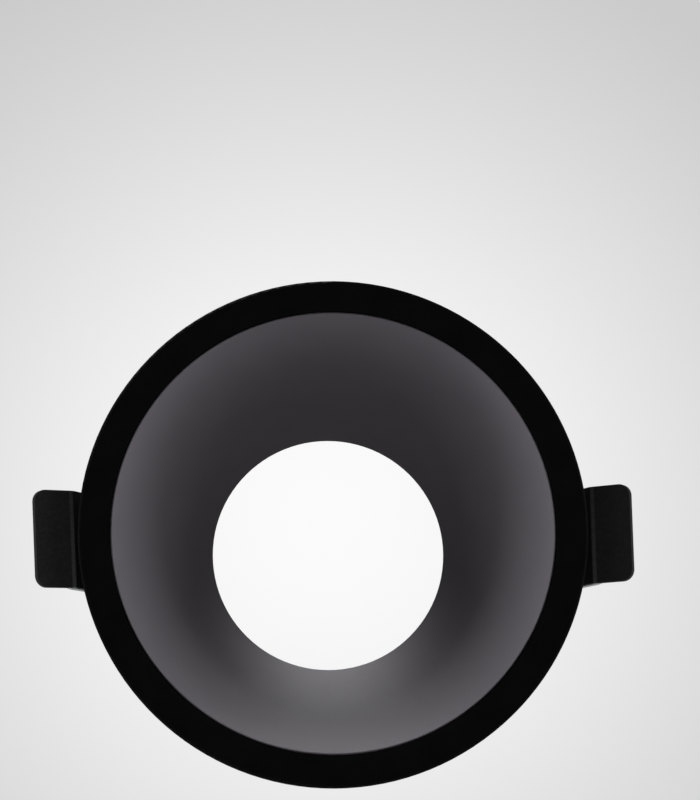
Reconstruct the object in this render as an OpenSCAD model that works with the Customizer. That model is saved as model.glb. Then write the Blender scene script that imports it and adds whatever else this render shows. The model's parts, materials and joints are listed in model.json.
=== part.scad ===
// Open recessed soffit downlight: a flanged trim ring, a conical baffle with an
// open throat, a seat for a reflector lamp, and two sprung clips that hold the
// ring up against the soffit.
// Millimetres. The light faces down: the flange's face is at z = 0, +Z points up
// into the soffit and the origin is on the ring's axis. The clips are at +X
// (left, as seen from below with +Y up) and at -X (right).

/* [Flange] */
// Width of the flange's face, from the cone's rim to the outer edge
face_w = 5.55; // [4.6:0.05:9]
// Thickness of the flange
flange_t = 3; // [2.4:0.1:4]
// Rounding of the flange's outer edges
flange_round = 0.5; // [0.2:0.1:1]
// Thickness of the foam gasket behind the flange
gasket_t = 1.2; // [0.6:0.1:2]
// How far the gasket stays inside the flange's edge
gasket_inset = 0.8; // [0.5:0.1:1.5]

/* [Collar] */
// Step from the cone's rebate out to the collar's outside
collar_step = 0.95; // [0.8:0.05:2]
// Wall of the collar
collar_wall = 1.8; // [1.4:0.1:2.4]
// Height of the collar's top above the flange's face
collar_top = 9; // [6:0.5:10]
// Height of the posts that carry the clip brackets
post_top = 13; // [12:0.5:15]
// Gap between a clip post and the flap's ear on each side of it
post_gap = 0.5; // [0.3:0.1:1]
// How far the posts and blocks stay inside the collar's outside
post_inset = 0.3; // [0.2:0.1:0.5]

/* [Baffle cone] */
// Diameter of the cone at its mouth
mouth_d = 77.8; // [75:0.2:84]
// Height of the cone's throat above the flange's face
throat_z = 35; // [33:0.5:40]
// Sheet thickness of the cone
cone_wall = 0.8; // [0.6:0.1:1.2]
// Width of the cone's rounded rim
rim_w = 0.45; // [0.3:0.05:0.6]
// How far the rim lies behind the flange's face
rim_recess = 0.4; // [0.3:0.1:1.2]
// How far the throat's edge opens out behind its knife edge
throat_flare = 0.6; // [0.2:0.1:1]
// Thickness of the turned-out flange at the throat
throat_t = 1.2; // [1:0.1:2]
// Height of the lugs that the cone is screwed to
lug_z = 14; // [13:0.5:16]
// Thickness of those lugs
lug_t = 1.6; // [1.2:0.1:2.4]
// Section radius of the seal between cone and ring
seal_r = 0.5; // [0.35:0.05:0.6]

/* [Lamp seat] */
// Face diameter of the reflector lamp
lamp_d = 50; // [49:0.5:51]
// Gap all round the lamp in its seat
lamp_gap = 0.3; // [0.1:0.05:0.6]
// Width of the ledge that the lamp's face rests on
lamp_ledge = 3.4; // [2.8:0.1:4]
// Wall of the seat ring
seat_wall = 2.3; // [1.8:0.1:2.8]
// Height of the seat ring
seat_h = 10.2; // [9:0.2:14]
// Thickness of the seat ring's lugs
seat_lug_t = 2.2; // [1.6:0.1:3]
// Thickness of the silicone pad under the lamp
pad_t = 1.2; // [0.8:0.1:1.6]
// Height of the circlip above the pad
clip_above_pad = 5.6; // [5:0.2:6.4]
// Wire diameter of the circlip
circlip_wire = 1.6; // [1.2:0.1:1.8]
// Opening angle of the circlip
circlip_gap_deg = 46; // [30:2:70]
// Height of the circlip's pinch ears
circlip_ear_h = 7; // [5:0.5:9]
// Reach of the ears towards the axis
circlip_ear_reach = 3; // [2:0.5:4]
// Distance from the seat ring's outside to the middle of its lugs' holes
lug_out = 2.4; // [2.4:0.1:4]
// Wall round the lugs' holes, past a screw's head
lug_edge = 0.9; // [0.5:0.1:1.5]
// Diameter of the two holes for the lampholder's bridge
bridge_hole_d = 3.2; // [2.6:0.1:3.4]

/* [Clips] */
// Width of a clip flap
flap_w = 17.4; // [16:0.2:20]
// Sheet thickness of flap and bracket
sheet_t = 1; // [0.8:0.1:1.2]
// Length of the flap's lip
lip_l = 7.7; // [6:0.1:8.4]
// How far the lip droops below level
lip_drop = 31; // [20:1:33]
// Corner radius of the lip
lip_corner = 2.1; // [1:0.1:4]
// Height of the flap's bend above the flange's face
bend_z = 7.8; // [6:0.1:9]
// How far the bend lies outside the flange's edge
bend_out = 1.15; // [0.5:0.05:2]
// Outside radius of the bend
bend_r = 1.4; // [1.3:0.1:2.5]
// Height of the hinge pin
hinge_z = 25; // [24:0.5:27]
// How far the hinge pin lies inside the collar's outside
hinge_inset = 3.9; // [3.7:0.1:4.3]
// Diameter of the hinge pins
pin_d = 2.5; // [2:0.1:3]
// Radius of the ears round the pin
ear_r = 2.8; // [2.4:0.1:3]
// How far the pin's head stands out past the pin
pin_head_rim = 0.85; // [0.6:0.05:1.2]
// Thickness of the pin's head
pin_head_t = 0.8; // [0.6:0.1:1.2]
// Thickness of the clip in the pin's groove
e_clip_t = 0.5; // [0.4:0.1:0.6]
// How far that clip stands out past the pin
e_clip_rim = 1.1; // [0.8:0.1:1.3]
// Length of the pin past its groove
pin_end_l = 0.7; // [0.5:0.1:1]
// How far the left bracket sits turned about its screw
clip_skew_left = 2.7; // [0:0.1:4]
// How far the right bracket sits turned about its screw
clip_skew_right = 0.9; // [0:0.1:4]

/* [Torsion springs] */
// Wire diameter
wire_d = 1; // [0.8:0.1:1.1]
// Mean radius of the coil
coil_r = 3; // [2.9:0.1:3.2]
// Whole turns of the coil, besides the half turn between its legs
coil_turns = 6; // [4:1:6]
// Length of the wire on the lip, past the bend
wire_tail = 1.2; // [0.8:0.1:3]

/* [Screws] */
// Thread diameter of the fixing screws
screw_d = 2.4; // [2:0.1:2.6]
// Head diameter of the fixing screws
head_d = 4.2; // [3.8:0.1:4.4]
// Head height of the fixing screws
head_h = 1.7; // [1.2:0.1:2]
// Thread length below a lug or a base plate
thread_l = 3; // [2.5:0.5:3.5]
// Wall of a boss round its screw
boss_wall = 1; // [0.8:0.1:1.2]
// Floor of a boss below its screw's thread
boss_floor = 1.5; // [1:0.1:2]
// Depth of a blind hole past its thread
hole_spare = 0.4; // [0.2:0.1:0.6]
// Thickness of the washers
washer_t = 0.6; // [0.4:0.1:0.8]
// Thread diameter of the earth screw
earth_d = 2.9; // [2.5:0.1:3]
// Width of the earth tag's blade
tag_w = 6.3; // [4.8:0.1:6.4]
// Length of the earth tag's blade
tag_l = 8; // [6:0.5:10]
// Sheet thickness of the earth tag
tag_t = 0.8; // [0.5:0.1:1]
// Gap between the earth tag's eye and its upright blade
tag_neck = 1.6; // [1.2:0.1:3]
// Diameter of the hole in the blade
tag_hole_d = 1.7; // [1.2:0.1:2]
// Distance of that hole from the blade's end
tag_hole_in = 2.6; // [2:0.1:3]

/* [Clearances] */
// Gap between pieces that seat on each other sideways
seat_gap = 0.1; // [0.05:0.05:0.2]
// Gap between pieces that don't touch
free_gap = 0.3; // [0.2:0.05:0.4]
// Radial gap of the flap on its pin
run_gap = 0.05; // [0.02:0.01:0.1]
// Radial gap of a thread in its hole
thread_gap = 0.05; // [0.02:0.01:0.1]
// Radial gap of a screw in a plate that it passes through
pass_gap = 0.3; // [0.2:0.05:0.5]

/* [Hidden] */
sides = ["left", "right"];

$fn = 96;
cut = 1;                                  // overshoot of a cut past a face

// Cone
mouth_r = mouth_d / 2;
throat_r = lamp_d / 2 - lamp_ledge;
cone_slope = (mouth_r - throat_r) / (throat_z - rim_recess);
wall_out = cone_wall / cos(atan(cone_slope));
rim_r = mouth_r + rim_w;
seat_z = throat_z + throat_t;
function cone_in(z) = mouth_r - (z - rim_recess) * cone_slope;
function cone_out(z) = cone_in(z) + wall_out;
function z_of_out(r) = rim_recess + (mouth_r + wall_out - r) / cone_slope;

// Ring
rebate_r = rim_r + seat_gap;
flange_r = rebate_r + face_w;
collar_r = rebate_r + collar_step;
bore_r = collar_r - collar_wall;
post_r = collar_r - post_inset;
gasket_in = collar_r + free_gap;
gasket_out = flange_r - gasket_inset;
seal_z = flange_t - seal_r - 0.2;
seal_ring_r = cone_out(seal_z) + seal_r / cos(atan(cone_slope)) + 0.02;

// Screws that hold the cone to the ring, and the seat ring to the cone
third = [90, 210, 330];
boss_r = screw_d / 2 + boss_wall;
lug_r = boss_r + boss_wall / 2;
lug_lap = collar_wall / 2;                // how far a lug runs into the collar's block
cone_screw_r = bore_r - boss_r - free_gap;
hole_r = screw_d / 2 + thread_gap;
pass_r = screw_d / 2 + pass_gap;

// Lamp seat
seat_bore_r = lamp_d / 2 + lamp_gap;
seat_out_r = seat_bore_r + seat_wall;
ledge_r = seat_out_r + lug_edge;
seat_screw_r = seat_out_r + lug_out;
seat_lug_r = head_d / 2 + lug_edge;
seat_boss_r = seat_lug_r - free_gap;
seat_boss_h = thread_l + boss_floor;
lug_top = seat_z + seat_lug_t;
pad_in = throat_r + throat_flare + 0.4;
circlip_z = seat_z + pad_t + clip_above_pad;
circlip_r = seat_bore_r + 0.05;
groove_r = circlip_r + circlip_wire / 2 + 0.05;
earth_deg = 270;                          // the earth lug and the circlip's ears
earth_head_d = earth_d * 1.9;
earth_r = seat_out_r + tag_w / 2 + free_gap;

// Clips, each in a frame with +X outwards and its hinge along Y
hinge_x = collar_r - hinge_inset;
bend = [flange_r + bend_out, bend_z];
leg_in = coil_r - wire_d / 2 - seat_gap - sheet_t;    // pin axis to the leg's inner face
reach = norm([bend.x - hinge_x, hinge_z - bend.y]);
leg_deg = atan2(hinge_z - bend.y, bend.x - hinge_x) + asin(leg_in / reach);
leg_l = sqrt(reach * reach - leg_in * leg_in);
turn_deg = leg_deg - lip_drop;
bend_cut = bend_r * tan(turn_deg / 2);
base_in = cone_out(post_top) + free_gap + 0.5;
base_out = collar_r - 0.9;
screw_x = (base_in + base_out) / 2;
base_top = post_top + sheet_t;
flap_in_y = flap_w / 2 - sheet_t;
ear_out_y = flap_in_y - free_gap - run_gap;
ear_in_y = ear_out_y - sheet_t;
post_w = 2 * (flap_in_y - post_gap);
wing_y = flap_in_y + free_gap;
coil_room = 2;                            // from the coil to the top of the flap's plate
plate_top_s = coil_r + wire_d / 2 + coil_room;
clip_shift = pass_gap - thread_gap;       // each bracket sits at one end of its screw's play
pin_r = pin_d / 2;
pin_head_r = pin_r + pin_head_rim;
groove_pin_r = pin_r - 0.35;
pin_end_y = flap_w / 2 + free_gap + e_clip_t + pin_end_l;

// Spring
coil_y = ear_in_y - wire_d / 2 - 0.25;
fixed_deg = 200;                          // where the fixed leg meets the coil
moving_deg = 90 - leg_deg;
coil_sweep = fixed_deg - moving_deg + 360 * coil_turns;
rings_per_turn = 8;
wire_edge_y = flap_w / 2 - 0.35;          // the moving leg's line near the flap's edge
wire_in = 0.4;                            // how far the wire's end turns in from that line
wire_turn_r = 1.2;                        // the moving leg's turn on to the lip

// ---- Shapes that several pieces share ----

// A point of the flap's leg: s along the leg from the pin, n outwards from the pin
function leg_pt(s, n) = [
    hinge_x + s * cos(leg_deg) + n * sin(leg_deg),
    hinge_z - s * sin(leg_deg) + n * cos(leg_deg)
];

// Children at the three screw places
module at_thirds(r) {
    for (a = third) rotate([0, 0, a]) translate([r, 0, 0]) children();
}

// Frame of a clip's screw, on its side of the ring and turned about the screw
module screw_frame(side) {
    rotate([0, 0, side == "left" ? 0 : 180]) translate([screw_x, 0, 0])
        rotate([0, 0, side == "left" ? -clip_skew_left : -clip_skew_right])
            translate([-screw_x, 0, 0]) children();
}

// Frame of the clip itself: the left one sits in on its screw, the right one out
module clip_frame(side) {
    screw_frame(side)
        translate([side == "left" ? -clip_shift : clip_shift, 0, 0]) children();
}

// An XZ outline made a plate from y0 to y1
module plate_y(y0, y1) {
    translate([0, y1, 0]) rotate([90, 0, 0]) linear_extrude(height = y1 - y0) children();
}

// Screw with a domed head and a cross recess, head's seat at z = 0
module screw(d, l, hd, hh) {
    recess_w = hd * 0.16;
    recess_l = hd * 0.6;
    difference() {
        union() {
            translate([0, 0, -l]) cylinder(d = d, h = l, $fn = 48);
            cylinder(d = hd, h = hh * 0.55, $fn = 48);
            translate([0, 0, hh * 0.55])
                cylinder(d1 = hd, d2 = hd * 0.66, h = hh * 0.45, $fn = 48);
        }
        for (a = [0, 90]) rotate([0, 0, a])
            translate([-recess_l / 2, -recess_w / 2, hh * 0.45])
                cube([recess_l, recess_w, hh]);
    }
}

// Section of the space that the cone takes, with its seating gap, up to z_top
module cone_space(gap, z_top) {
    z_rim = z_of_out(rebate_r - gap);
    polygon([
        [0, -cut], [rebate_r, -cut], [rebate_r, z_rim],
        [cone_out(z_top) + gap, z_top], [0, z_top]
    ]);
}

// Section of the groove for the seal, open towards the cone
module seal_groove() {
    groove_half = seal_r + seat_gap / 2;
    translate([cone_out(seal_z), seal_z - groove_half])
        square([seal_ring_r + groove_half - cone_out(seal_z), 2 * groove_half]);
}

// Wire swept along points: six sides, none of them running along Y
function unit(v) = v / norm(v);
function along(p, i) = unit(p[min(i + 1, len(p) - 1)] - p[max(i - 1, 0)]);
module wire(p, d, sides = 6) {
    n = len(p);
    rings = [
        for (i = [0:n - 1])
            let (t = along(p, i), u = unit(cross(t, [0, 1, 0])), v = cross(u, t))
                for (k = [0:sides - 1])
                    p[i] + d / 2 * (cos(k * 360 / sides) * u + sin(k * 360 / sides) * v)
    ];
    skin = [
        for (i = [0:n - 2], k = [0:sides - 1])
            let (a = i * sides + k, b = i * sides + (k + 1) % sides)
                each [[a, b, b + sides], [a, b + sides, a + sides]]
    ];
    start = [for (k = [1:sides - 2]) [0, k + 1, k]];
    last = (n - 1) * sides;
    end = [for (k = [1:sides - 2]) [last, last + k, last + k + 1]];
    polyhedron(points = rings, faces = concat(skin, start, end));
}

// ---- Trim ring ----

// Flange section with rounded outer edges
module flange_section() {
    difference() {
        translate([bore_r, 0]) square([flange_r - bore_r, flange_t]);
        for (z = [0, flange_t - flange_round])
            translate([flange_r - flange_round, z]) square([cut, flange_round]);
    }
    for (z = [flange_round, flange_t - flange_round])
        translate([flange_r - flange_round, z]) circle(r = flange_round);
}

// Block on the collar's inside on the +X side, w wide, from the flange up to z1
module collar_block(w, r_in, z1) {
    z0 = flange_t / 2;
    intersection() {
        translate([0, 0, z0]) cylinder(r = post_r, h = z1 - z0);
        translate([r_in, -w / 2, z0]) cube([collar_r, w, z1 - z0]);
    }
}

module trim_ring() {
    color("#0d0d0f") difference() {
        union() {
            rotate_extrude() {
                flange_section();
                translate([bore_r, 0]) square([collar_wall, collar_top]);
            }
            for (a = [0, 180]) rotate([0, 0, a])
                collar_block(post_w, base_in, post_top);
            for (a = third) rotate([0, 0, a]) {
                collar_block(2 * lug_r + 2 * boss_wall, bore_r, lug_z + lug_t);
                translate([cone_screw_r, -lug_r, lug_z])
                    cube([bore_r + lug_lap - cone_screw_r, 2 * lug_r, lug_t]);
                translate([cone_screw_r, 0, lug_z]) cylinder(r = lug_r, h = lug_t);
            }
        }
        rotate_extrude() {
            cone_space(seat_gap, lug_z + lug_t + cut);
            seal_groove();
        }
        at_thirds(cone_screw_r)
            translate([0, 0, lug_z - cut]) cylinder(r = pass_r, h = lug_t + 2 * cut);
        for (a = [0, 180]) rotate([0, 0, a])
            translate([screw_x, 0, 0]) blind_hole(post_top);
    }
}

module ceiling_gasket() {
    color("#1b1b1d") translate([0, 0, flange_t]) difference() {
        cylinder(r = gasket_out, h = gasket_t);
        translate([0, 0, -cut]) cylinder(r = gasket_in, h = gasket_t + 2 * cut);
    }
}

// ---- Baffle cone ----

module cone_section() {
    round_r = rim_w / 2;
    z_round = rim_recess + round_r;
    polygon([
        [mouth_r, z_round], [throat_r, throat_z], [throat_r + throat_flare, seat_z],
        [ledge_r, seat_z], [ledge_r, throat_z], [cone_out(throat_z), throat_z],
        [rim_r, z_of_out(rim_r)], [rim_r, z_round]
    ]);
    translate([mouth_r + round_r, z_round]) circle(r = round_r);
}

// Pillar for a screw, from z0 up to z1
module pillar(r, z0, z1) {
    translate([0, 0, z0]) cylinder(r = r, h = z1 - z0);
}

// Space inside the middle of the cone's wall
module inside_wall() {
    rotate_extrude()
        polygon([
            [0, -cut], [cone_in(-cut) + wall_out / 2, -cut],
            [cone_in(seat_z) + wall_out / 2, seat_z], [0, seat_z]
        ]);
}

module baffle_cone() {
    web_t = 1.6;
    color("#5a565c") difference() {
        union() {
            rotate_extrude($fn = 180) cone_section();
            difference() {
                union() {
                    at_thirds(cone_screw_r)
                        pillar(boss_r, z_of_out(cone_screw_r + boss_r) - cone_wall / 2, lug_z);
                    at_thirds(seat_screw_r) {
                        pillar(seat_boss_r, seat_z - seat_boss_h, seat_z);
                        translate([throat_r - seat_screw_r, -web_t / 2, throat_z - seat_boss_h])
                            cube([seat_screw_r - throat_r, web_t, seat_boss_h + throat_t / 2]);
                    }
                }
                inside_wall();
            }
        }
        at_thirds(cone_screw_r) blind_hole(lug_z);
        at_thirds(seat_screw_r) blind_hole(seat_z);
    }
}

// Threaded hole from a face at z, a little deeper than the thread
module blind_hole(z) {
    translate([0, 0, z - thread_l - hole_spare])
        cylinder(r = hole_r, h = thread_l + hole_spare + cut);
}

module rim_seal() {
    color("#2a2a2c") rotate_extrude() translate([seal_ring_r, seal_z]) circle(r = seal_r);
}

module cone_screws() {
    color("#9a9ca0") at_thirds(cone_screw_r)
        translate([0, 0, lug_z + lug_t]) screw(screw_d, lug_t + thread_l, head_d, head_h);
}

// ---- Lamp seat ----

module lamp_seat_ring() {
    notch_x = circlip_r * sin(circlip_gap_deg / 2) + circlip_wire / 2 + 2 * free_gap;
    notch_z = circlip_z - circlip_wire / 2 - free_gap;
    color("#121214") difference() {
        translate([0, 0, seat_z]) union() {
            cylinder(r = seat_out_r, h = seat_h);
            cylinder(r = ledge_r, h = seat_lug_t);
            for (a = concat(third, [0, 180])) rotate([0, 0, a])
                translate([seat_screw_r, 0, 0]) cylinder(r = seat_lug_r, h = seat_lug_t);
            rotate([0, 0, earth_deg]) translate([earth_r, 0, 0])
                cylinder(d = tag_w + free_gap, h = seat_lug_t);
        }
        translate([0, 0, seat_z - cut]) cylinder(r = seat_bore_r, h = seat_h + 2 * cut);
        translate([0, 0, circlip_z - circlip_wire / 2 - seat_gap])
            cylinder(r = groove_r, h = circlip_wire + 2 * seat_gap);
        translate([-notch_x, -seat_out_r - cut, notch_z])
            cube([2 * notch_x, seat_out_r, seat_h]);
        at_thirds(seat_screw_r) lug_hole(pass_r);
        for (a = [0, 180]) rotate([0, 0, a]) translate([seat_screw_r, 0, 0])
            lug_hole(bridge_hole_d / 2);
        rotate([0, 0, earth_deg]) translate([earth_r, 0, 0])
            lug_hole(earth_d / 2 + thread_gap);
    }
}

module lug_hole(r) {
    translate([0, 0, seat_z - cut]) cylinder(r = r, h = seat_lug_t + 2 * cut);
}

module lamp_seat_pad() {
    color("#8d8f92") translate([0, 0, seat_z]) difference() {
        cylinder(r = seat_bore_r - seat_gap, h = pad_t);
        translate([0, 0, -cut]) cylinder(r = pad_in, h = pad_t + 2 * cut);
    }
}

module retaining_circlip() {
    wire_r = circlip_wire / 2;
    color("#b4b6b8") translate([0, 0, circlip_z]) {
        rotate([0, 0, earth_deg + circlip_gap_deg / 2])
            rotate_extrude(angle = 360 - circlip_gap_deg)
                translate([circlip_r, 0]) circle(r = wire_r, $fn = 32);
        for (a = [-0.5, 0.5]) rotate([0, 0, earth_deg + a * circlip_gap_deg])
            translate([circlip_r, 0, 0]) {
                sphere(r = wire_r, $fn = 32);
                cylinder(r = wire_r, h = circlip_ear_h, $fn = 32);
                translate([0, 0, circlip_ear_h]) {
                    sphere(r = wire_r, $fn = 32);
                    rotate([0, -90, 0]) cylinder(r = wire_r, h = circlip_ear_reach, $fn = 32);
                }
            }
    }
}

module seat_screws() {
    color("#9a9ca0") at_thirds(seat_screw_r)
        translate([0, 0, lug_top]) screw(screw_d, seat_lug_t + thread_l, head_d, head_h);
}

// The earth tag's eye, neck and upright blade
module earth_tag() {
    neck = tag_w / 2 + tag_neck;
    corner = 1;
    color("#c8a858") rotate([0, 0, earth_deg]) translate([earth_r, 0, lug_top])
        difference() {
            union() {
                cylinder(d = tag_w, h = tag_t);
                translate([0, -tag_w / 2, 0]) cube([neck + tag_t, tag_w, tag_t]);
                translate([neck, 0, 0]) plate_x(tag_t) polygon([
                    [-tag_w / 2, 0], [tag_w / 2, 0], [tag_w / 2, tag_l - corner],
                    [tag_w / 2 - corner, tag_l], [corner - tag_w / 2, tag_l],
                    [-tag_w / 2, tag_l - corner]
                ]);
            }
            translate([0, 0, -cut])
                cylinder(r = earth_d / 2 + 2 * thread_gap, h = tag_t + 2 * cut);
            translate([neck - cut, 0, tag_l - tag_hole_in]) rotate([0, 90, 0])
                cylinder(d = tag_hole_d, h = tag_t + 2 * cut, $fn = 32);
        }
}

// A YZ outline made a plate t thick along +X
module plate_x(t) {
    rotate([90, 0, 90]) linear_extrude(height = t) children();
}

// Toothed lock washer under the earth screw
module earth_washer() {
    teeth = 10;
    color("#b4b6b8") rotate([0, 0, earth_deg])
        translate([earth_r, 0, lug_top + tag_t]) difference() {
            cylinder(r = earth_head_d / 2, h = washer_t);
            translate([0, 0, -cut])
                cylinder(r = earth_d / 2 + 2 * thread_gap, h = washer_t + 2 * cut);
            for (i = [0:teeth - 1]) rotate([0, 0, i * 360 / teeth])
                translate([earth_head_d / 2 - 0.5, -0.3, -cut])
                    cube([cut, 0.6, washer_t + 2 * cut]);
        }
}

module earth_screw() {
    l = seat_lug_t + tag_t + washer_t + 1.2;
    color("#c8a858") rotate([0, 0, earth_deg])
        translate([earth_r, 0, lug_top + tag_t + washer_t])
            screw(earth_d, l, earth_head_d, head_h);
}

// ---- Clips ----

module clip_bracket(side) {
    color("#161618") clip_frame(side) {
        difference() {
            translate([base_in, -wing_y, post_top])
                cube([base_out - base_in, 2 * wing_y, sheet_t]);
            translate([screw_x, 0, post_top - cut]) cylinder(r = pass_r, h = sheet_t + 2 * cut);
        }
        for (y = [-ear_out_y, ear_in_y]) plate_y(y, y + sheet_t) difference() {
            union() {
                polygon([
                    [base_in, post_top], [base_out - 0.4, post_top],
                    [hinge_x + ear_r, hinge_z], [hinge_x - ear_r, hinge_z]
                ]);
                translate([hinge_x, hinge_z]) circle(r = ear_r);
            }
            translate([hinge_x, hinge_z]) circle(r = pin_r + run_gap);
        }
    }
}

module clip_screws() {
    color("#9a9ca0") for (side = sides) screw_frame(side)
        translate([screw_x, 0, base_top + washer_t])
            screw(screw_d, washer_t + sheet_t + thread_l, head_d, head_h);
}

// Split spring washers
module clip_washers() {
    color("#b4b6b8") for (side = sides) screw_frame(side)
        translate([screw_x, 0, base_top]) difference() {
            cylinder(d = head_d, h = washer_t);
            translate([0, 0, -cut]) cylinder(r = pass_r, h = washer_t + 2 * cut);
            rotate([0, 0, 40]) translate([0, -0.15, -cut])
                cube([head_d, 0.3, washer_t + 2 * cut]);
        }
}

// Pin along Y with a head at its -Y end and a groove at the other
module hinge_pin(side) {
    shoulder_y = flap_w / 2 + free_gap;
    color("#b4b6b8") clip_frame(side) translate([hinge_x, 0, hinge_z])
        rotate([-90, 0, 0]) difference() {
            translate([0, 0, -shoulder_y]) union() {
                cylinder(r = pin_r, h = shoulder_y + pin_end_y);
                translate([0, 0, -pin_head_t]) cylinder(r = pin_head_r, h = pin_head_t);
            }
            translate([0, 0, shoulder_y]) difference() {
                cylinder(r = pin_r + cut, h = e_clip_t + 2 * run_gap);
                cylinder(r = groove_pin_r, h = e_clip_t + 2 * run_gap);
            }
        }
}

// Retaining clips in the pins' grooves
module pin_clips() {
    color("#3a3a3d") for (side = sides) clip_frame(side)
        translate([hinge_x, flap_w / 2 + free_gap + run_gap, hinge_z]) rotate([-90, 0, 0])
            difference() {
                cylinder(r = pin_r + e_clip_rim, h = e_clip_t);
                translate([0, 0, -cut])
                    cylinder(r = groove_pin_r + run_gap, h = e_clip_t + 2 * cut);
                translate([-groove_pin_r * 0.8, 0, -cut])
                    cube([groove_pin_r * 1.6, 2 * pin_r + 2 * cut, e_clip_t + 2 * cut]);
            }
}

// Children in the lip's own plane: X along the lip from the bend, Z up from its underside
module lip_frame() {
    translate([bend.x, 0, bend.y]) rotate([0, lip_drop, 0]) children();
}

// A point of the lip: l along it from the bend, n up from its underside
function lip_pt(l, n) = [
    bend.x + l * cos(lip_drop) + n * sin(lip_drop),
    bend.y - l * sin(lip_drop) + n * cos(lip_drop)
];

// Leg, bend and lip in the XZ plane
module flap_profile() {
    lap = 0.02;
    past_bend = 2 * bend_r;
    polygon([
        leg_pt(plate_top_s, leg_in), leg_pt(plate_top_s, leg_in + sheet_t),
        leg_pt(leg_l - bend_cut + lap, leg_in + sheet_t), leg_pt(leg_l - bend_cut + lap, leg_in)
    ]);
    polygon([
        lip_pt(bend_cut - lap, 0), lip_pt(bend_cut - lap, sheet_t),
        lip_pt(lip_l, sheet_t), lip_pt(lip_l, 0)
    ]);
    translate(leg_pt(leg_l - bend_cut, leg_in + bend_r)) intersection() {
        difference() {
            circle(r = bend_r);
            circle(r = bend_r - sheet_t);
        }
        polygon([
            [0, 0],
            for (k = [0:2]) let (a = 270 - leg_deg + k * turn_deg / 2)
                past_bend * [cos(a), sin(a)]
        ]);
    }
}

// Ear round the pin, whose heel stops on the bracket's base
module flap_ear() {
    heel_x = base_out + 2 * seat_gap;
    heel_w = 2.2;
    heel_h = 2;
    ear_lap = 1.6;                        // how far the ear runs down the leg past the post
    heel_s = (hinge_z - post_top) / sin(leg_deg) + ear_lap;
    difference() {
        union() {
            translate([hinge_x, hinge_z]) circle(r = ear_r);
            polygon([
                leg_pt(0, -ear_r), [heel_x - heel_w, base_top + heel_h], [heel_x, base_top + 0.4],
                [heel_x, post_top - 0.1], leg_pt(heel_s, leg_in),
                leg_pt(heel_s, leg_in + sheet_t), leg_pt(ear_r / 2, leg_in + sheet_t)
            ]);
        }
        translate([hinge_x, hinge_z]) circle(r = pin_r + run_gap);
    }
}

// What comes off at one corner of the lip
module lip_corner_cut() {
    translate([lip_l - lip_corner, flap_w / 2 - lip_corner, -cut])
        linear_extrude(height = sheet_t + 2 * cut) difference() {
            square(lip_corner + cut);
            circle(r = lip_corner);
        }
}

module clip_flap(side) {
    color("#19191b") clip_frame(side) difference() {
        union() {
            plate_y(-flap_w / 2, flap_w / 2) flap_profile();
            for (y = [-flap_w / 2, flap_in_y]) plate_y(y, y + sheet_t) flap_ear();
        }
        lip_frame() lip_corner_cut();
        lip_frame() mirror([0, 1, 0]) lip_corner_cut();
    }
}

// ---- Torsion springs ----

// Fixed leg on the bracket's base, coil round the pin, moving leg down the
// flap's outer face near its edge, and a tail on the lip. The two springs are
// wound opposite ways: hand is 1 on the left and -1 on the right.
function spring_path(hand) = [for (p = left_path()) [p.x, hand * p.y, p.z]];
function left_path() =
    let (
        foot_z = base_top + wire_d / 2 + seat_gap,
        fixed = [hinge_x + coil_r * cos(fixed_deg), hinge_z + coil_r * sin(fixed_deg)],
        foot_l = (fixed.y - foot_z) / -cos(fixed_deg),
        foot_x = fixed.x - foot_l * sin(fixed_deg),
        coil_n = round(coil_sweep / 360 * rings_per_turn),
        past = coil_r - leg_in,
        corner_s = leg_l - (past + wire_turn_r) * tan(turn_deg / 2),
        corner = leg_pt(corner_s, coil_r + wire_turn_r)
    )
    concat(
        [for (k = [0, 0.5]) [foot_x + k * (fixed.x - foot_x), coil_y,
                             foot_z + k * (fixed.y - foot_z)]],
        [for (i = [0:coil_n]) let (t = i / coil_n, a = fixed_deg - coil_sweep * t)
            [hinge_x + coil_r * cos(a), coil_y * (1 - 2 * t), hinge_z + coil_r * sin(a)]],
        [for (t = [0.15:0.14:0.86]) let (p = leg_pt(corner_s * t, coil_r))
            [p.x, -coil_y - (wire_edge_y - coil_y) * ease((t - 0.25) / 0.45), p.y]],
        [for (k = [0:2]) let (a = 270 - leg_deg + k * turn_deg / 2)
            [corner.x + wire_turn_r * cos(a), wire_in * k / 5 - wire_edge_y,
             corner.y + wire_turn_r * sin(a)]],
        [let (a = 270 - lip_drop) [
            corner.x + wire_turn_r * cos(a) + wire_tail * cos(lip_drop),
            wire_in - wire_edge_y,
            corner.y + wire_turn_r * sin(a) - wire_tail * sin(lip_drop)
        ]]
    );
function ease(t) = let (c = max(0, min(1, t))) c * c * (3 - 2 * c);

// Least gap of the wire to itself, between points more than 6 rings apart
function least_gap(p) = min([
    for (i = [0:len(p) - 8], j = [i + 7:len(p) - 1]) norm(p[i] - p[j])
]) - wire_d;
echo(spring_self_gap = least_gap(left_path()));

module torsion_spring(side) {
    color("#c4c6c8") clip_frame(side) wire(spring_path(side == "left" ? 1 : -1), wire_d);
}

trim_ring();
ceiling_gasket();
baffle_cone();
rim_seal();
cone_screws();
lamp_seat_ring();
lamp_seat_pad();
retaining_circlip();
seat_screws();
earth_tag();
earth_washer();
earth_screw();
clip_bracket("left");  // clip_bracket_left
clip_bracket("right");  // clip_bracket_right
clip_screws();
clip_washers();
hinge_pin("left");  // hinge_pin_left
hinge_pin("right");  // hinge_pin_right
pin_clips();
torsion_spring("left");  // torsion_spring_left
torsion_spring("right");  // torsion_spring_right
clip_flap("left");  // clip_flap_left
clip_flap("right");  // clip_flap_right
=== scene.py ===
import json
import math

import bmesh
import bpy
from mathutils import Matrix, Vector


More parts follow.
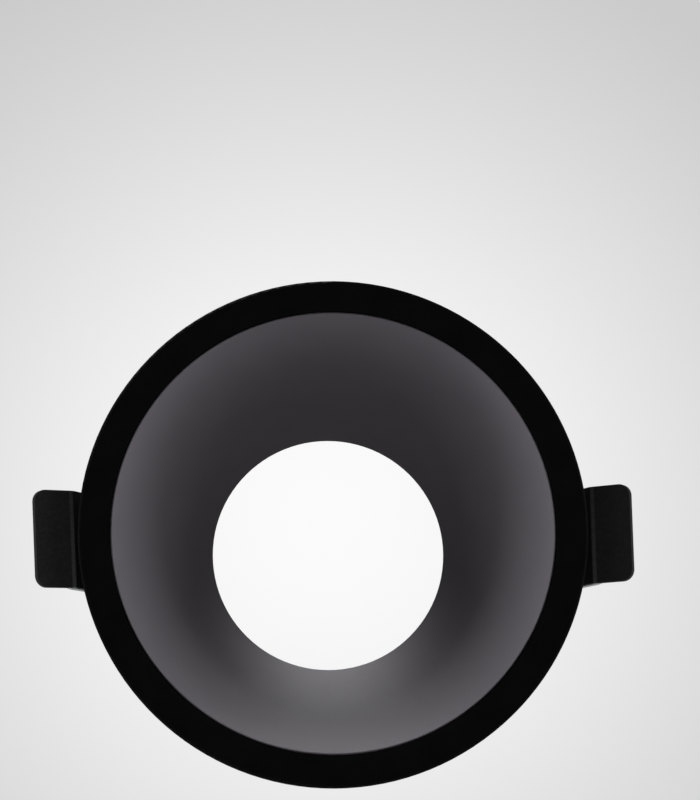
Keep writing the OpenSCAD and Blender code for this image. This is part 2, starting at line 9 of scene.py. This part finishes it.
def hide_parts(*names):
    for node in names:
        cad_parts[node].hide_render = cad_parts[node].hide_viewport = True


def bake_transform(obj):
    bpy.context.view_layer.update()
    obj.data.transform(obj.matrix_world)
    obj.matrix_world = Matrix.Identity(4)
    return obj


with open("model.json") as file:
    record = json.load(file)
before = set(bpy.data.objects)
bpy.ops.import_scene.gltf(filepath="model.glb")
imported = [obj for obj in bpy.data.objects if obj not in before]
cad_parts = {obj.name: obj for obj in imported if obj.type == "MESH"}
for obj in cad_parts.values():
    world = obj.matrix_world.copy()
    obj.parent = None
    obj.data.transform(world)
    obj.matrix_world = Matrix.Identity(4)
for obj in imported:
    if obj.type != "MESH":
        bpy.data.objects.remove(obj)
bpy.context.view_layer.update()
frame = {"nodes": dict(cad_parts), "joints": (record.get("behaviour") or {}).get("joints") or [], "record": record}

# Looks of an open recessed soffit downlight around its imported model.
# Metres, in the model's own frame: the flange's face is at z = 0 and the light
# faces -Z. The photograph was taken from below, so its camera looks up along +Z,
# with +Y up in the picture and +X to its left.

MM = 0.001
TAU = 2 * math.pi
UP = Vector((0, 0, 1))


# ---- Camera ----

PICTURE = (700, 800)                    # pixels
FOCAL_PX = 3000                         # focal length, in pixels of the picture
SENSOR_MM = 36                          # of the picture's long side
CAMERA_AT = Vector((16.13, -68.49, -524.0)) * MM
CAMERA_RIGHT = Vector((-0.99935, -0.00621, -0.03541))
CAMERA_UP = Vector((0.0, 0.98499, -0.17262))
CAMERA_BACK = CAMERA_RIGHT.cross(CAMERA_UP)
CLIP_NEAR, CLIP_FAR = 0.01, 50


def make_camera():
    data = bpy.data.cameras.new("photo_camera")
    data.sensor_width = SENSOR_MM
    data.lens = FOCAL_PX / max(PICTURE) * SENSOR_MM
    data.clip_start = CLIP_NEAR
    data.clip_end = CLIP_FAR
    camera = bpy.data.objects.new("photo_camera", data)
    axes = Matrix((CAMERA_RIGHT, CAMERA_UP, CAMERA_BACK)).transposed().to_4x4()
    camera.matrix_world = Matrix.Translation(CAMERA_AT) @ axes
    bpy.context.scene.collection.objects.link(camera)
    bpy.context.scene.camera = camera


def pixel_direction(x, y):
    """The direction in which the camera sees a pixel of the picture."""
    across = (x - PICTURE[0] / 2) / FOCAL_PX
    upward = (PICTURE[1] / 2 - y) / FOCAL_PX
    return (CAMERA_RIGHT * across + CAMERA_UP * upward - CAMERA_BACK).normalized()


# ---- Node helpers ----

COLOUR_A, COLOUR_B, COLOUR_OUT = 6, 7, 2    # a mix node's sockets for colours


class Tree:
    """A node tree that is built by short calls."""

    def __init__(self, owner):
        owner.use_nodes = True
        self.tree = owner.node_tree
        self.tree.nodes.clear()

    def add(self, kind, settings=None, **inputs):
        """A new node. An input goes by its name, with _ for each space."""
        node = self.tree.nodes.new(kind)
        for name, value in (settings or {}).items():
            setattr(node, name, value)
        for name, value in inputs.items():
            self.feed(node.inputs[name.replace("_", " ")], value)
        return node

    def feed(self, socket, value):
        """Links a socket to another one, or sets its value."""
        if isinstance(value, bpy.types.NodeSocket):
            self.tree.links.new(value, socket)
        else:
            socket.default_value = value

    def math(self, operation, a, b=0.0):
        node = self.add("ShaderNodeMath", {"operation": operation})
        self.feed(node.inputs[0], a)
        self.feed(node.inputs[1], b)
        return node.outputs[0]

    def vector_math(self, operation, a, b=(0, 0, 0)):
        node = self.add("ShaderNodeVectorMath", {"operation": operation})
        self.feed(node.inputs[0], a)
        self.feed(node.inputs[1], b)
        return node

    def mix(self, factor, a, b):
        """Colour a where factor is 0, and b where it is 1."""
        node = self.add("ShaderNodeMix", {"data_type": "RGBA"})
        self.feed(node.inputs["Factor"], factor)
        self.feed(node.inputs[COLOUR_A], a)
        self.feed(node.inputs[COLOUR_B], b)
        return node.outputs[COLOUR_OUT]

    def span(self, value, low, high, to_low=0.0, to_high=1.0):
        """value carried from low..high to to_low..to_high, and held at the ends."""
        node = self.add("ShaderNodeMapRange", Value=value, From_Min=low, From_Max=high,
                        To_Min=to_low, To_Max=to_high)
        return node.outputs[0]

    def noise(self, where, size, detail=3.0, roughness=0.5):
        """Noise whose blobs are about size metres across."""
        node = self.add("ShaderNodeTexNoise", Vector=where, Scale=1 / size,
                        Detail=detail, Roughness=roughness)
        return node.outputs[0]

    def shaded(self, **inputs):
        """Ends a material in a principled shader."""
        shader = self.add("ShaderNodeBsdfPrincipled", **inputs)
        self.add("ShaderNodeOutputMaterial", Surface=shader.outputs[0])


# ---- World ----

FULL = 255                              # the whitest display level
CURVE_LIFT = 0.055                      # of the display's curve above its toe
CURVE_POWER = 2.4
BACKDROP_PIXEL = (324, 515)             # where the backdrop is brightest
BACKDROP_TOP = 250.6 / FULL             # display level there
BACKDROP_FALL = 24.13 / FULL            # fall per unit of spread
BACKDROP_BEND = 0.2355                  # how soon the fall eases off
BACKDROP_LEAST = 203 / FULL             # also all round, and what the floor adds
SPREAD = FOCAL_PX ** 2 / 1e5            # unit of spread: 316 pixels off, squared
LEAST_FACING = 0.05                     # keeps the spread finite away from the view
AMBIENT_UP = 0.07                       # light on the object from above
AMBIENT_DOWN = 0.004                    # light on it from below
HORIZON = 0.15                          # half the height over which the two blend


def linear(level):
    """Linear value of a display level that is above the curve's toe. Both are shares
    of the whitest."""
    return ((level + CURVE_LIFT) / (1 + CURVE_LIFT)) ** CURVE_POWER


def make_world():
    """The backdrop's glow is seen and reflected, but the object is lit by the
    weaker ambient light."""
    world = bpy.data.worlds.new("studio")
    bpy.context.scene.world = world
    t = Tree(world)
    way = t.add("ShaderNodeTexCoord").outputs["Generated"]
    centre = pixel_direction(*BACKDROP_PIXEL)
    facing = t.vector_math("DOT_PRODUCT", way, tuple(centre)).outputs["Value"]
    facing = t.math("MAXIMUM", facing, LEAST_FACING)
    square = t.math("MULTIPLY", facing, facing)
    spread = t.math("SUBTRACT", t.math("DIVIDE", SPREAD, square), SPREAD)
    eased = t.math("ADD", t.math("MULTIPLY", spread, BACKDROP_BEND), 1.0)
    fall = t.math("DIVIDE", t.math("MULTIPLY", spread, BACKDROP_FALL), eased)
    level = t.math("MAXIMUM", t.math("SUBTRACT", BACKDROP_TOP, fall), BACKDROP_LEAST)
    lifted = t.math("DIVIDE", t.math("ADD", level, CURVE_LIFT), 1 + CURVE_LIFT)
    shown = t.math("POWER", lifted, CURVE_POWER)

    height = t.add("ShaderNodeSeparateXYZ", Vector=way).outputs["Z"]
    ambient = t.span(height, -HORIZON, HORIZON, AMBIENT_DOWN, AMBIENT_UP)
    mirrored = t.span(height, -HORIZON, HORIZON, AMBIENT_DOWN, linear(BACKDROP_LEAST))

    ray = t.add("ShaderNodeLightPath").outputs
    seen = t.math("MAXIMUM", ray["Is Camera Ray"], ray["Is Transmission Ray"])
    glossy = ray["Is Glossy Ray"]
    lit = t.math("MULTIPLY", ambient, t.math("SUBTRACT", 1.0, seen))
    lit = t.math("ADD", t.math("MULTIPLY", lit, t.math("SUBTRACT", 1.0, glossy)),
                 t.math("MULTIPLY", mirrored, glossy))
    strength = t.math("ADD", lit, t.math("MULTIPLY", shown, seen))
    background = t.add("ShaderNodeBackground", Color=(1, 1, 1, 1), Strength=strength)
    t.add("ShaderNodeOutputWorld", Surface=background.outputs[0])


# ---- Floor ----

FLOOR_DROP = 0.2 * MM                   # under the flange's face
FLOOR_HALF = 3.0
FLOOR_NEAR, FLOOR_FAR = 0.12, 0.55      # it takes light up to here, and none from there
FLOOR_MOTTLE = 20 * MM
FLOOR_LOW = (0.36, 0.36, 0.36, 1)
FLOOR_HIGH = (0.40, 0.40, 0.40, 1)


def make_floor():
    """A pale floor that is seen from above only, so that the photograph's view
    from below passes through it. It keeps the shadows and hides no lamp."""
    mesh = bpy.data.meshes.new("floor")
    corners = [(x * FLOOR_HALF, y * FLOOR_HALF, -FLOOR_DROP)
               for x, y in ((-1, -1), (1, -1), (1, 1), (-1, 1))]
    mesh.from_pydata(corners, [], [(0, 1, 2, 3)])
    floor = bpy.data.objects.new("floor", mesh)
    bpy.context.scene.collection.objects.link(floor)
    material = bpy.data.materials.new("floor")
    t = Tree(material)
    camera_ray = t.add("ShaderNodeLightPath").outputs["Is Camera Ray"]
    under = t.add("ShaderNodeNewGeometry").outputs["Backfacing"]
    seen = t.math("MULTIPLY", camera_ray, t.math("SUBTRACT", 1.0, under))
    where = t.add("ShaderNodeTexCoord").outputs["Object"]
    pale = t.mix(t.noise(where, FLOOR_MOTTLE), FLOOR_LOW, FLOOR_HIGH)
    distance = t.vector_math("LENGTH", where).outputs["Value"]
    fading = t.mix(t.span(distance, FLOOR_NEAR, FLOOR_FAR), pale, (0, 0, 0, 1))
    matt = t.add("ShaderNodeBsdfDiffuse", Color=fading)
    glow = t.add("ShaderNodeEmission", Color=(1, 1, 1, 1),
                 Strength=linear(BACKDROP_LEAST))
    pair = t.add("ShaderNodeAddShader")
    t.feed(pair.inputs[0], matt.outputs[0])
    t.feed(pair.inputs[1], glow.outputs[0])
    clear = t.add("ShaderNodeBsdfTransparent")
    surface = t.add("ShaderNodeMixShader")
    t.feed(surface.inputs[0], seen)
    t.feed(surface.inputs[1], clear.outputs[0])
    t.feed(surface.inputs[2], pair.outputs[0])
    t.add("ShaderNodeOutputMaterial", Surface=surface.outputs[0])
    mesh.materials.append(material)


# ---- Lamps ----

LAMP_AIM = Vector((0, 0, 10)) * MM
LAMP_FAR = 0.85

# Name; direction in the picture, in degrees from the right and upwards; degrees off
# the way that the light faces; width and height in metres; watts.
LAMPS = (
    ("right", 0, 82, 0.45, 0.45, 3.2),
    ("left", 180, 82, 0.45, 0.45, 2.8),
    ("right_low", 0, 50, 0.45, 0.45, 0.6),
    ("left_low", 180, 50, 0.45, 0.45, 0.5),
    ("far_right", 35, 84, 0.3, 0.3, 3.8),
    ("far_left", 145, 84, 0.3, 0.3, 4.7),
    ("near", 270, 80, 0.5, 0.3, 0.9),
    ("near_level", 270, 87, 0.6, 0.2, 1.0),
    ("near_low", 270, 50, 0.45, 0.45, 1.0),
    # For the views from above. The near one is too low to shine down the throat.
    ("above_far", 90, 125, 0.5, 0.5, 6.0),
    ("above_near", 270, 97, 0.8, 0.2, 2.4),
)


def make_lamp(name, around, off_axis, wide, tall, power):
    """A soft lamp that the camera doesn't see."""
    a, b = math.radians(around), math.radians(off_axis)
    at = LAMP_FAR * Vector((-math.sin(b) * math.cos(a), math.sin(b) * math.sin(a),
                            -math.cos(b)))
    data = bpy.data.lights.new(name, "AREA")
    data.shape = "RECTANGLE"
    data.size = wide
    data.size_y = tall
    data.energy = power
    lamp = bpy.data.objects.new(name, data)
    lamp.location = at
    lamp.rotation_euler = (LAMP_AIM - at).to_track_quat("-Z", "Y").to_euler()
    lamp.visible_camera = False
    bpy.context.scene.collection.objects.link(lamp)


# ---- Clips ----

BEND_OUT = 9.65 * MM                    # pin's axis to the flap's bend
BEND_DROP = 17.2 * MM
LIP_DROP_DEG = 31
LEG_IN = 1.4 * MM                       # pin's axis to the flap's leg, its inner face


def hinge_axes(joint):
    """A hinge's middle, and the directions outwards from the ring and along its pin."""
    along = -Vector(joint["axis"]).normalized()
    return Vector(joint["pos_m"]), along.cross(UP), along


# ---- Materials ----

NOISE_MID = (0.35, 0.65)                # most of a noise's values, and nearly all
NOISE_WIDE = (0.3, 0.7)
FINE = 0.6                              # roughness of the noises for fine detail

COAT_EDGE_R = 0.15 * MM                 # how round a coat makes the sheet's edges
COAT_EDGE_SAMPLES = 4
COAT_PATCH = 6 * MM
COAT_GRAIN = 0.45 * MM
COAT_PEEL = 0.02 * MM                   # depth of its orange peel
COAT_PEEL_STRENGTH = 0.6
COAT_SMOOTHER, COAT_ROUGHER = 0.05, 0.07    # how far the grain moves its roughness
PATCH_SHARE = 0.6                       # of the patches in a coat's colour

# The flaps' painted light: their lips are painted lighter than their legs, which stay dark as painted shade, and a
# painted highlight runs along each bend.
LIP_LIGHT_COAT = (0.0600, 0.0580, 0.0615, 1)
RIDGE_HIGHLIGHT_COAT = (0.150, 0.146, 0.153, 1)
LIGHT_SHARES = {"clip_left_hinge": 1.0, "clip_right_hinge": 0.6}    # how strongly each clip's painted light and painted highlight show
HIGHLIGHT_W = 0.42 * MM                       # half the width of the painted highlight along a bend
HIGHLIGHT_OUT = 0.35 * MM                     # its middle, outwards from the bend's corner
HIGHLIGHT_HIGH = (1.2 * MM, 1.8 * MM)         # it fades this far above and below the bend
LIP_LIGHT_HIGH = (0.8 * MM, 1.4 * MM)       # the lips' painted lighter tone fades out this far above the bend
LIP_LIGHT_FACING = (0.55, 0.75)             # it lies on faces that look up or down
STREAK = 0.5 * MM
STREAK_STRETCH = (0.25, 1, 1)
STREAK_DETAIL, STREAK_FINE = 4, 0.65
STREAK_MID = (0.3, 0.65)
LIGHT_LEAST = 0.62                       # least strength of the painted light between the streaks

METAL_MARK = 0.3 * MM
METAL_RELIEF = 0.004 * MM
METAL_RELIEF_STRENGTH = 0.5
METAL_SMOOTHER, METAL_ROUGHER = 0.08, 0.12  # how far the marks move its roughness
TARNISH = 3 * MM
TARNISH_MID = (0.35, 0.7)

CLOUD = 4 * MM                          # patches in foam and rubber
CELL_SHARE = 0.7                        # of the pores in their colour
CELL_MID = (0.1, 0.7)
CELL_STRENGTH = 0.7
RUBBER_GLOSS = 0.25


def begin_material(name):
    """A new material, its tree and the place on the object."""
    material = bpy.data.materials.new(name)
    t = Tree(material)
    return material, t, t.add("ShaderNodeTexCoord").outputs["Object"]


def coated(name, low, high, rough, gloss, painted_light=None):
    """Powder coat or paint: two close colours in soft patches, and a fine orange peel.
    The last argument, a function of (tree, where, colour), gives the colour with painted light and shade laid on
    it."""
    material, t, where = begin_material(name)
    patches = t.noise(where, COAT_PATCH)
    speckle = t.noise(where, COAT_GRAIN, roughness=FINE)
    blend = t.math("ADD", t.math("MULTIPLY", patches, PATCH_SHARE),
                   t.math("MULTIPLY", speckle, 1 - PATCH_SHARE))
    colour = t.mix(t.span(blend, *NOISE_MID), low, high)
    if painted_light:
        colour = painted_light(t, where, colour)
    edge = t.add("ShaderNodeBevel", {"samples": COAT_EDGE_SAMPLES}, Radius=COAT_EDGE_R)
    peel = t.add("ShaderNodeBump", Strength=COAT_PEEL_STRENGTH, Distance=COAT_PEEL,
                 Height=speckle, Normal=edge.outputs[0])
    t.shaded(Base_Color=colour, Normal=peel.outputs[0], Specular_IOR_Level=gloss,
             Roughness=t.span(speckle, *NOISE_WIDE, rough - COAT_SMOOTHER,
                              rough + COAT_ROUGHER))
    return material


def clip_painted_light(t, where, colour):
    """Painted light and shade on the flaps: their lips are painted lighter than their legs, which keep the darker
    coat as painted shade, and a painted highlight runs along each bend. Both are broken up by streaks.
    """
    lip_light = ridge_highlight = 0.0
    for joint in frame["joints"]:
        light_share = LIGHT_SHARES[joint["name"]]
        hinge, outward, _ = hinge_axes(joint)
        bend = hinge + outward * BEND_OUT - UP * BEND_DROP
        from_bend = t.vector_math("SUBTRACT", where, tuple(bend)).outputs[0]
        out = t.vector_math("DOT_PRODUCT", from_bend, tuple(outward)).outputs["Value"]
        height = t.vector_math("DOT_PRODUCT", from_bend, tuple(UP)).outputs["Value"]
        off = t.math("ABSOLUTE", t.math("SUBTRACT", out, HIGHLIGHT_OUT))
        # The painted highlight: a lighter line along the bend.
        line = t.span(off, 0.5 * HIGHLIGHT_W, HIGHLIGHT_W, light_share, 0.0)
        near = t.span(t.math("ABSOLUTE", height), *HIGHLIGHT_HIGH, 1.0, 0.0)
        ridge_highlight = t.math("MAXIMUM", ridge_highlight, t.math("MULTIPLY", line, near))
        # The lip painted lighter, as painted light; the leg above keeps the darker coat as painted shade.
        lip = t.span(out, HIGHLIGHT_OUT - HIGHLIGHT_W, HIGHLIGHT_OUT, 0.0, light_share)
        below = t.span(height, *LIP_LIGHT_HIGH, 1.0, 0.0)
        lip_light = t.math("MAXIMUM", lip_light, t.math("MULTIPLY", lip, below))
    normal = t.add("ShaderNodeTexCoord").outputs["Normal"]
    facing = t.add("ShaderNodeSeparateXYZ", Vector=normal).outputs["Z"]
    flat = t.span(t.math("ABSOLUTE", facing), *LIP_LIGHT_FACING)
    lip_light = t.math("MULTIPLY", lip_light, flat)
    stretched = t.vector_math("MULTIPLY", where, STREAK_STRETCH).outputs[0]
    streaks = t.noise(stretched, STREAK, STREAK_DETAIL, STREAK_FINE)
    patchy = t.span(streaks, *STREAK_MID, LIGHT_LEAST, 1.0)
    colour = t.mix(t.math("MULTIPLY", lip_light, patchy), colour, LIP_LIGHT_COAT)
    return t.mix(t.math("MULTIPLY", ridge_highlight, patchy), colour, RIDGE_HIGHLIGHT_COAT)


def bare_metal(name, low, high, rough):
    """Plated or drawn metal: patchy tarnish and fine marks."""
    material, t, where = begin_material(name)
    marks = t.noise(where, METAL_MARK, roughness=FINE)
    colour = t.mix(t.span(t.noise(where, TARNISH), *TARNISH_MID), low, high)
    relief = t.add("ShaderNodeBump", Strength=METAL_RELIEF_STRENGTH,
                   Distance=METAL_RELIEF, Height=marks)
    t.shaded(Base_Color=colour, Metallic=1.0, Normal=relief.outputs[0],
             Roughness=t.span(marks, *NOISE_WIDE, rough - METAL_SMOOTHER,
                              rough + METAL_ROUGHER))
    return material


def rubbery(name, low, high, rough, grain, depth):
    """Foam, silicone or rubber: matt, with pores of the grain's size and depth."""
    material, t, where = begin_material(name)
    cells = t.add("ShaderNodeTexVoronoi", Vector=where, Scale=1 / grain).outputs["Distance"]
    blend = t.math("ADD", t.math("MULTIPLY", cells, CELL_SHARE),
                   t.math("MULTIPLY", t.noise(where, CLOUD), 1 - CELL_SHARE))
    colour = t.mix(t.span(blend, *CELL_MID), low, high)
    relief = t.add("ShaderNodeBump", Strength=CELL_STRENGTH, Distance=depth, Height=cells)
    t.shaded(Base_Color=colour, Roughness=rough, Normal=relief.outputs[0],
             Specular_IOR_Level=RUBBER_GLOSS)
    return material


def make_materials():
    """The materials by slot."""
    return {
        "ring_black": coated("ring_coat", (0.0024, 0.0024, 0.0026, 1),
                             (0.0042, 0.0042, 0.0045, 1), rough=0.85, gloss=0.04),
        "cone_grey": coated("cone_paint", (0.131, 0.121, 0.138, 1),
                            (0.139, 0.128, 0.145, 1), rough=0.62, gloss=0.15),
        "seat_black": coated("seat_coat", (0.010, 0.010, 0.011, 1),
                             (0.016, 0.016, 0.017, 1), rough=0.5, gloss=0.3),
        # The flaps' coat carries painted light and shade, with a painted highlight on each bend.
        "clip_black": coated("clip_coat", (0.0090, 0.0088, 0.0094, 1),
                             (0.0130, 0.0126, 0.0134, 1), rough=0.7, gloss=0.1,
                             painted_light=clip_painted_light),
        "foam_black": rubbery("foam", (0.008, 0.008, 0.009, 1), (0.022, 0.022, 0.023, 1),
                              rough=0.9, grain=0.35 * MM, depth=0.12 * MM),
        "silicone_grey": rubbery("silicone", (0.30, 0.30, 0.30, 1), (0.38, 0.38, 0.37, 1),
                                 rough=0.6, grain=0.8 * MM, depth=0.02 * MM),
        "seal_black": rubbery("seal", (0.010, 0.010, 0.011, 1), (0.018, 0.018, 0.019, 1),
                              rough=0.65, grain=0.5 * MM, depth=0.02 * MM),
        "spring_steel": bare_metal("spring_wire", (0.30, 0.31, 0.33, 1),
                                   (0.44, 0.45, 0.46, 1), rough=0.3),
        "zinc_steel": bare_metal("zinc_plate", (0.42, 0.43, 0.46, 1),
                                 (0.53, 0.54, 0.56, 1), rough=0.46),
        "dark_steel": bare_metal("phosphated_steel", (0.07, 0.07, 0.08, 1),
                                 (0.12, 0.12, 0.12, 1), rough=0.45),
        "brass": bare_metal("brass", (0.48, 0.32, 0.12, 1), (0.60, 0.43, 0.18, 1),
                            rough=0.52),
    }


SLOTS = {p["node"]: p["material_slot"] for p in frame["record"]["subparts"]}
MATERIALS = make_materials()


def dress(piece, node):
    """Gives a piece the material of a node's slot."""
    piece.data.materials.clear()
    piece.data.materials.append(MATERIALS[SLOTS[node]])


# ---- Torsion springs ----

WIRE_R = 0.5 * MM
WIRE_SIDES = 14
WIRE_BEVEL = 0.25                       # length of its ends' bevel, in radii
WIRE_END_R = 0.8                        # radius at its very ends, in radii
COIL_R = 3.0 * MM
COIL_TURNS = 6
COIL_Y = 5.6 * MM                       # half the coil's length, to the wire's middle
COIL_STEPS = 36                         # in a turn
FIXED_DEG = 200                         # where the fixed leg meets the coil
FOOT_DROP = 10.4 * MM                   # pin's axis to the fixed leg's end
FOOT_STEPS = 8
LEG_STEPS = 25
SWING = (0.25, 0.7)                     # shares of the leg where it swings to the edge
EDGE_Y = 8.35 * MM                      # the moving leg's line near the flap's edge
TURN_R = 1.2 * MM                       # the moving leg's turn on to the lip
TURN_STEPS = 6
END_IN = 0.4 * MM                       # how far the wire's end turns in from that line
TURN_IN = 0.4                           # share of it by the end of the turn
WIRE_TAIL = 1.2 * MM
TAIL_SHARES = (0.5, 0.98)


def ease(t):
    """A smooth rise from 0 to 1."""
    t = max(0.0, min(1.0, t))
    return t * t * (3 - 2 * t)


def spring_path():
    """The wire's middle line round the pin, with X outwards and Y along the pin."""
    reach = math.hypot(BEND_OUT, BEND_DROP)
    leg = math.atan2(BEND_DROP, BEND_OUT) + math.asin(LEG_IN / reach)
    leg_l = math.sqrt(reach ** 2 - LEG_IN ** 2)
    drop = math.radians(LIP_DROP_DEG)
    fixed = math.radians(FIXED_DEG)

    # The fixed leg, from its foot up to the coil.
    meet_x, meet_z = COIL_R * math.cos(fixed), COIL_R * math.sin(fixed)
    rise = meet_z + FOOT_DROP
    foot_x = meet_x + rise * math.tan(fixed)
    points = []
    for i in range(FOOT_STEPS):
        k = i / FOOT_STEPS
        points.append((foot_x + k * (meet_x - foot_x), COIL_Y, k * rise - FOOT_DROP))

    # The coil.
    sweep = fixed - (math.pi / 2 - leg) + TAU * COIL_TURNS
    coil_n = round(sweep / TAU * COIL_STEPS)
    for i in range(coil_n + 1):
        t = i / coil_n
        a = fixed - sweep * t
        points.append((COIL_R * math.cos(a), COIL_Y * (1 - 2 * t), COIL_R * math.sin(a)))

    # The moving leg, s along the flap's leg and n off it.
    def leg_point(s, n):
        return (s * math.cos(leg) + n * math.sin(leg),
                n * math.cos(leg) - s * math.sin(leg))

    turn = leg - drop
    corner_s = leg_l - (COIL_R - LEG_IN + TURN_R) * math.tan(turn / 2)
    for i in range(LEG_STEPS):
        t = (i + 0.5) / LEG_STEPS
        swung = ease((t - SWING[0]) / (SWING[1] - SWING[0]))
        x, z = leg_point(corner_s * t, COIL_R)
        points.append((x, -COIL_Y - (EDGE_Y - COIL_Y) * swung, z))

    # Its turn on to the lip, and its tail.
    centre_x, centre_z = leg_point(corner_s, COIL_R + TURN_R)
    for i in range(TURN_STEPS + 1):
        k = i / TURN_STEPS
        a = 0.75 * TAU - leg + turn * k
        points.append((centre_x + TURN_R * math.cos(a), END_IN * TURN_IN * k - EDGE_Y,
                       centre_z + TURN_R * math.sin(a)))
    x, _, z = points[-1]
    for share in TAIL_SHARES:
        points.append((x + share * WIRE_TAIL * math.cos(drop),
                       END_IN * (TURN_IN + (1 - TURN_IN) * share) - EDGE_Y,
                       z - share * WIRE_TAIL * math.sin(drop)))
    return points


def wire_mesh(name, points, radius):
    """Round wire swept along points, with bevelled ends."""
    points = [Vector(p) for p in points]
    first = (points[1] - points[0]).normalized()
    last = (points[-1] - points[-2]).normalized()
    bevel = WIRE_BEVEL * radius
    stations = [(points[0], WIRE_END_R), (points[0] + first * bevel, 1.0)]
    stations += [(p, 1.0) for p in points[1:-1]]
    stations += [(points[-1] - last * bevel, 1.0), (points[-1], WIRE_END_R)]
    centres = [s[0] for s in stations]
    vertices = []
    n = len(stations)
    for i, (p, share) in enumerate(stations):
        along = (centres[min(i + 1, n - 1)] - centres[max(i - 1, 0)]).normalized()
        u = along.cross(Vector((0, 1, 0))).normalized()
        v = u.cross(along)
        for k in range(WIRE_SIDES):
            a = TAU * k / WIRE_SIDES
            vertices.append(p + radius * share * (u * math.cos(a) + v * math.sin(a)))
    faces = []
    for i in range(n - 1):
        for k in range(WIRE_SIDES):
            a = i * WIRE_SIDES + k
            b = i * WIRE_SIDES + (k + 1) % WIRE_SIDES
            faces.append((a, b, b + WIRE_SIDES, a + WIRE_SIDES))
    faces.append(tuple(reversed(range(WIRE_SIDES))))
    faces.append(tuple(range((n - 1) * WIRE_SIDES, n * WIRE_SIDES)))
    mesh = bpy.data.meshes.new(name)
    mesh.from_pydata(vertices, [], faces)
    built = bmesh.new()
    built.from_mesh(mesh)
    bmesh.ops.recalc_face_normals(built, faces=built.faces)
    built.to_mesh(mesh)
    built.free()
    for polygon in mesh.polygons:
        polygon.use_smooth = len(polygon.vertices) == 4
    return mesh


def make_springs():
    """Builds each spring as round wire at the clips' rest, in place of its node; on the real clip it winds up
    between its bracket and its flap as the clip folds.
    The two are wound opposite ways."""
    for joint in frame["joints"]:
        side, hand = ("left", 1) if "left" in joint["name"] else ("right", -1)
        node = f"torsion_spring_{side}"
        hinge, outward, along = hinge_axes(joint)
        mesh = wire_mesh(f"{node}_wire", [(x, hand * y, z) for x, y, z in spring_path()],
                         WIRE_R)
        turn = Matrix((outward, along, UP)).transposed().to_4x4()
        mesh.transform(Matrix.Translation(hinge) @ turn)
        spring = bpy.data.objects.new(f"{node}_wire", mesh)
        bpy.context.scene.collection.objects.link(spring)
        dress(spring, node)
        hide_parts(node)
        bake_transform(spring)


# ---- The scene ----

make_camera()
make_world()
make_floor()
for lamp in LAMPS:
    make_lamp(*lamp)
for node, piece in frame["nodes"].items():
    dress(piece, node)
make_springs()

bpy.context.scene.view_settings.view_transform = "Standard"
